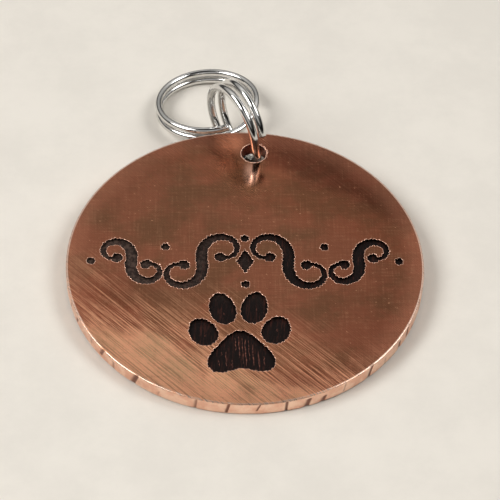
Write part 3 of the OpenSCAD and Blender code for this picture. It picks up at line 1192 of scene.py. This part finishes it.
    def ridges(self) -> None:
        """Ridges between the cutter's passes, which show copper through the filling.

        Each is a spindle: an ellipse whose size follows the square root of a sine along its
        length, with noise, and whose middle lies on the filling's surface.
        """
        t = np.linspace(0.02, 0.98, self.ridge_rings)
        section = circle(1, self.ridge_sides)
        level = self.thickness - self.cut_depth + self.paint
        tubes = []
        for i, (x, low, high, width) in enumerate(self.ridge_spots):
            uneven = 1 + 0.3 * periodic_noise(t, (2, 9), Seed.RIDGE_SIZE + i)
            size = (np.sqrt(np.sin(math.pi * t)) * uneven)[:, None]
            wander = 0.03 * periodic_noise(t, (1, 3), Seed.RIDGE_LINE + i)
            middle = self.figures.on_tag(np.stack([x + wander, low + (high - low) * t], -1))
            across = middle[:, :1] + width / 2 * size * section[:, 0]
            along = np.repeat(middle[:, 1:], self.ridge_sides, axis=1)
            upright = level + self.ridge_height * size * section[:, 1]
            tubes.append(np.stack([across, along, upright], -1))
        dress(tag_piece("paw_ridges", tubes), (Finish.RIDGE,), "tag")

    def build(self) -> None:
        """Makes the disc, its burrs and its filling."""
        disc = self.cut(self.blank())
        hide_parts("tag_disc")
        dress(disc, self.finishes, "tag")
        self.burr("paw_burr", self.paw, (0.012, 0.09), (0.04, 0.2), Seed.PAW_LIP)
        self.burr("band_burr", self.band, (0.012, 0.08), (0.045, 0.18), Seed.BAND_LIP)
        self.hole_burr()
        self.filling("paw_filling", "paw_fill", self.paw)
        self.filling("band_filling", "scroll_fill", self.band)
        self.ridges()


def turn_matrix(x: float, y: float, z: float) -> Array:
    """Rotation about X, then Y, then Z, in degrees, 3 x 3."""
    turns = [Matrix.Rotation(math.radians(a), 3, axis) for a, axis in zip((x, y, z), "XYZ")]
    about_x, about_y, about_z = (np.array(turn) for turn in turns)
    return about_z @ about_y @ about_x


@dataclass(frozen=True)
class SplitRing:
    """A ring of one wire: a turn, a crossing to the other side, and a second turn.

    The wire is high across the ring and wide along its axis. The ring is turned by start in
    its own plane, then by lie, and moved to its place. Angles are in degrees.
    """

    name: str
    node: str
    radius: float
    high: float
    wide: float
    pitch: float
    spread: float
    start: float
    lie: Array
    at: Triple
    cross_angle: float = 60.0
    end_angle: float = 9.0
    end_taper: float = 0.16
    end_share: float = 0.75
    end_rings: int = 7
    steps: int = 900
    sides: int = 40
    sharp_angle: float = 50.0

    @property
    def whole(self) -> float:
        """The wire's whole angle: two turns, less the crossing and the gap at each end."""
        return 2 * 360 - self.cross_angle - 2 * self.end_angle

    def centreline(self, angle: Array) -> Array:
        """Middle line of the wire.

        A circle in the ring's plane; across the plane it goes from half a pitch below to
        half a pitch above, by a smooth step over the crossing in the middle of its length. The
        pitch grows by the spread, with half of one less the cosine, to the other side.

        Args:
            angle: Angle along the wire, from one end.

        Returns:
            Points, n x 3.
        """
        around = np.radians(angle - self.whole / 2)
        step = smooth_step((angle - (self.whole - self.cross_angle) / 2) / self.cross_angle)
        pitch = self.pitch + self.spread * (1 - np.cos(around)) / 2
        x, y = self.radius * np.cos(around), self.radius * np.sin(around)
        return np.stack([x, y, pitch * (step - 0.5)], -1)

    def wire(self) -> Array:
        """The wire's surface: an ellipse square to the middle line, smaller at both ends.

        Returns:
            Points, rings x sides x 3, in the ring's own frame.
        """
        taper = math.degrees(self.end_taper / self.radius)
        rounding = np.linspace(0, 1, self.end_rings)
        middle = np.linspace(taper, self.whole - taper, self.steps)[1:-1]
        last = self.whole - taper * rounding[::-1] ** 2
        angle = np.concatenate([taper * rounding**2, middle, last])
        grow = self.end_share + (1 - self.end_share) * np.sqrt(1 - (1 - rounding) ** 2)
        share = np.concatenate([grow, np.ones(len(middle)), grow[::-1]])
        here = self.centreline(angle)
        along = self.centreline(angle + 0.5) - self.centreline(angle - 0.5)
        along /= np.linalg.norm(along, axis=1, keepdims=True)
        out = here * [1, 1, 0] / self.radius
        across = np.cross(along, out)
        b = np.linspace(0, FULL, self.sides, endpoint=False)[:, None]
        high, wide = self.high / 2 * np.cos(b), self.wide / 2 * np.sin(b)
        section = high * out[:, None] + wide * across[:, None]
        return here[:, None] + share[:, None, None] * section

    def build(self) -> None:
        """Makes the wire, turned and moved to its place."""
        grid = self.wire()
        turn = self.lie @ turn_matrix(0, 0, self.start)
        points = (grid.reshape(-1, 3) @ turn.T + self.at) * MM
        piece = new_piece(self.name, points, tube_faces(*grid.shape[:2]))
        piece.data.set_sharp_from_angle(angle=math.radians(self.sharp_angle))
        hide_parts(self.node)
        dress(piece, (Finish.NICKEL,), self.node)


# Turn of both rings about the upright, in degrees
RINGS_TURN = 90 + 33


def link_ring() -> SplitRing:
    """The small ring, upright in the disc's hole."""
    return SplitRing(
        "link_wire", "link_ring", radius=4.55, high=0.89, wide=0.89, pitch=1.0, spread=0.4,
        start=200, lie=PLACE.matrix() @ turn_matrix(90, 0, RINGS_TURN),
        at=(-1.30258, 12.5832, 4.975),
    )


def collar_ring() -> SplitRing:
    """The larger ring, lying on the small ring's wire and on the table."""
    return SplitRing(
        "collar_wire", "collar_ring", radius=5.61, high=0.8, wide=0.83, pitch=1.0, spread=0.0,
        start=212, lie=turn_matrix(0, 7.48385, RINGS_TURN), at=(-4.78999, 19.055, 1.62497),
    )


@dataclass(frozen=True)
class Lamp:
    """An area lamp aimed at the middle of the part, with its place and size in metres."""

    name: str
    at: Triple
    size: Pair
    watts: float

    def build(self) -> None:
        """Puts the lamp in the scene."""
        data = bpy.data.lights.new(self.name, "AREA")
        data.shape = "RECTANGLE"
        data.size, data.size_y = self.size
        data.energy = self.watts
        made = put_in_scene(self.name, data)
        made.location = self.at
        made.rotation_euler = Vector(self.at).to_track_quat("Z", "Y").to_euler()


@dataclass(frozen=True)
class Studio:
    """Camera, table, lamps and surroundings.

    The camera's place is in millimetres in the flat tag's frame, its elevation and roll are
    in degrees, and its aim and focal length in pixels of a picture that is image wide. The
    table's size and drop are in metres.
    """

    camera_at: Triple = (0.0, -152.104, 179.405)
    elevation: float = 49.712
    roll: float = 1.651
    aim_x: float = -4.078
    aim_y: float = 21.035
    focal: float = 2200.0
    image: float = 500.0
    sensor: float = 36.0
    shift: float = 0.002
    table: float = 3.0
    drop: float = 0.00002
    lamps: tuple[Lamp, ...] = (
        Lamp("left", (-0.42, -0.1, 0.46), (0.4, 0.3), 2.8),
        Lamp("right", (0.4, 0.0, 0.5), (0.34, 0.28), 1.78),
        Lamp("front", (-0.05, -0.5, 0.45), (0.7, 0.45), 0.35),
    )
    # The surroundings' level by height of the direction, and its share in front
    levels: tuple[Pair, ...] = (
        (0.0, 0.25), (0.15, 0.04), (0.32, 0.06), (0.42, 0.4), (0.6, 0.46), (0.81, 0.88),
        (0.89, 0.45), (0.96, 0.04),
    )
    warmth: Color = (1, 0.985, 0.96)
    front_level: float = 0.12

    def camera(self) -> None:
        """Makes the camera, with the directions that were fitted to the photograph.

        Right, down and forward in the flat tag's frame come from the elevation, then the
        roll and the two aim angles, and the tag's lean turns them to the model's frame.
        """
        el, roll = math.radians(self.elevation), math.radians(self.roll)
        back = np.array([0, -math.cos(el), math.sin(el)])
        right = np.array([1.0, 0, 0])
        base = np.stack([right, -np.cross(right, -back), -back])
        ax = math.atan2(self.aim_x, self.focal)
        ay = math.atan2(self.aim_y, math.hypot(self.focal, self.aim_x))
        (ca, sa), (ce, se), (cr, sr) = ((math.cos(a), math.sin(a)) for a in (ax, ay, roll))
        side = np.array([[ca, 0, sa], [0, 1, 0], [-sa, 0, ca]])
        tip = np.array([[1, 0, 0], [0, ce, se], [0, -se, ce]])
        spin = np.array([[cr, -sr, 0], [sr, cr, 0], [0, 0, 1]])
        rows = side @ tip @ spin @ base @ PLACE.matrix().T
        data = bpy.data.cameras.new("camera")
        data.sensor_width = self.sensor
        data.lens = self.focal * self.sensor / self.image
        data.shift_x = self.shift
        pose = np.eye(4)
        pose[:3, :3] = (rows * [[1], [-1], [-1]]).T
        pose[:3, 3] = PLACE.metres(np.array(self.camera_at))
        made = put_in_scene("camera", data)
        made.matrix_world = Matrix(pose.tolist())
        bpy.context.scene.camera = made

    def room(self) -> None:
        """The surroundings: a bright band behind the part, a dark ceiling and a dark front.

        The level is a ramp over the height of the direction looked in, times a step from
        the front level to one over its reach to the back.
        """
        world = bpy.data.worlds.new("room")
        bpy.context.scene.world = world
        world.use_nodes = True
        sheet = Sheet(world.node_tree)
        _, y, z = sheet.axes(sheet.node("TexCoord").outputs["Generated"])
        tones = [(height, tuple(level * c for c in self.warmth)) for height, level in self.levels]
        ground = sheet.tree.nodes["Background"]
        sheet.put(ground.inputs["Color"], sheet.ramp(z, tones))
        sheet.put(ground.inputs["Strength"], sheet.span(y, (-0.05, 0.4), (self.front_level, 1)))

    def build(self) -> None:
        """Makes the camera, the table, the lamps and the surroundings."""
        self.camera()
        signs = np.array([[-1, -1, 0], [1, -1, 0], [1, 1, 0], [-1, 1, 0]])
        corners = signs * self.table / 2 - [0, 0, self.drop]
        table = new_piece("table", corners, [np.arange(4)[None]], smooth=False)
        table.data.materials.append(Finish.TABLE.material())
        for lamp in self.lamps:
            lamp.build()
        self.room()
        bpy.context.scene.view_settings.view_transform = "Standard"


def main() -> None:
    """Builds the stage and the pieces in order."""
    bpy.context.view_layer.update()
    Studio().build()
    TagDisc().build()
    link_ring().build()
    collar_ring().build()


if __name__ == "__main__":
    logging.basicConfig(level=logging.INFO, format="%(name)s %(message)s")
    main()
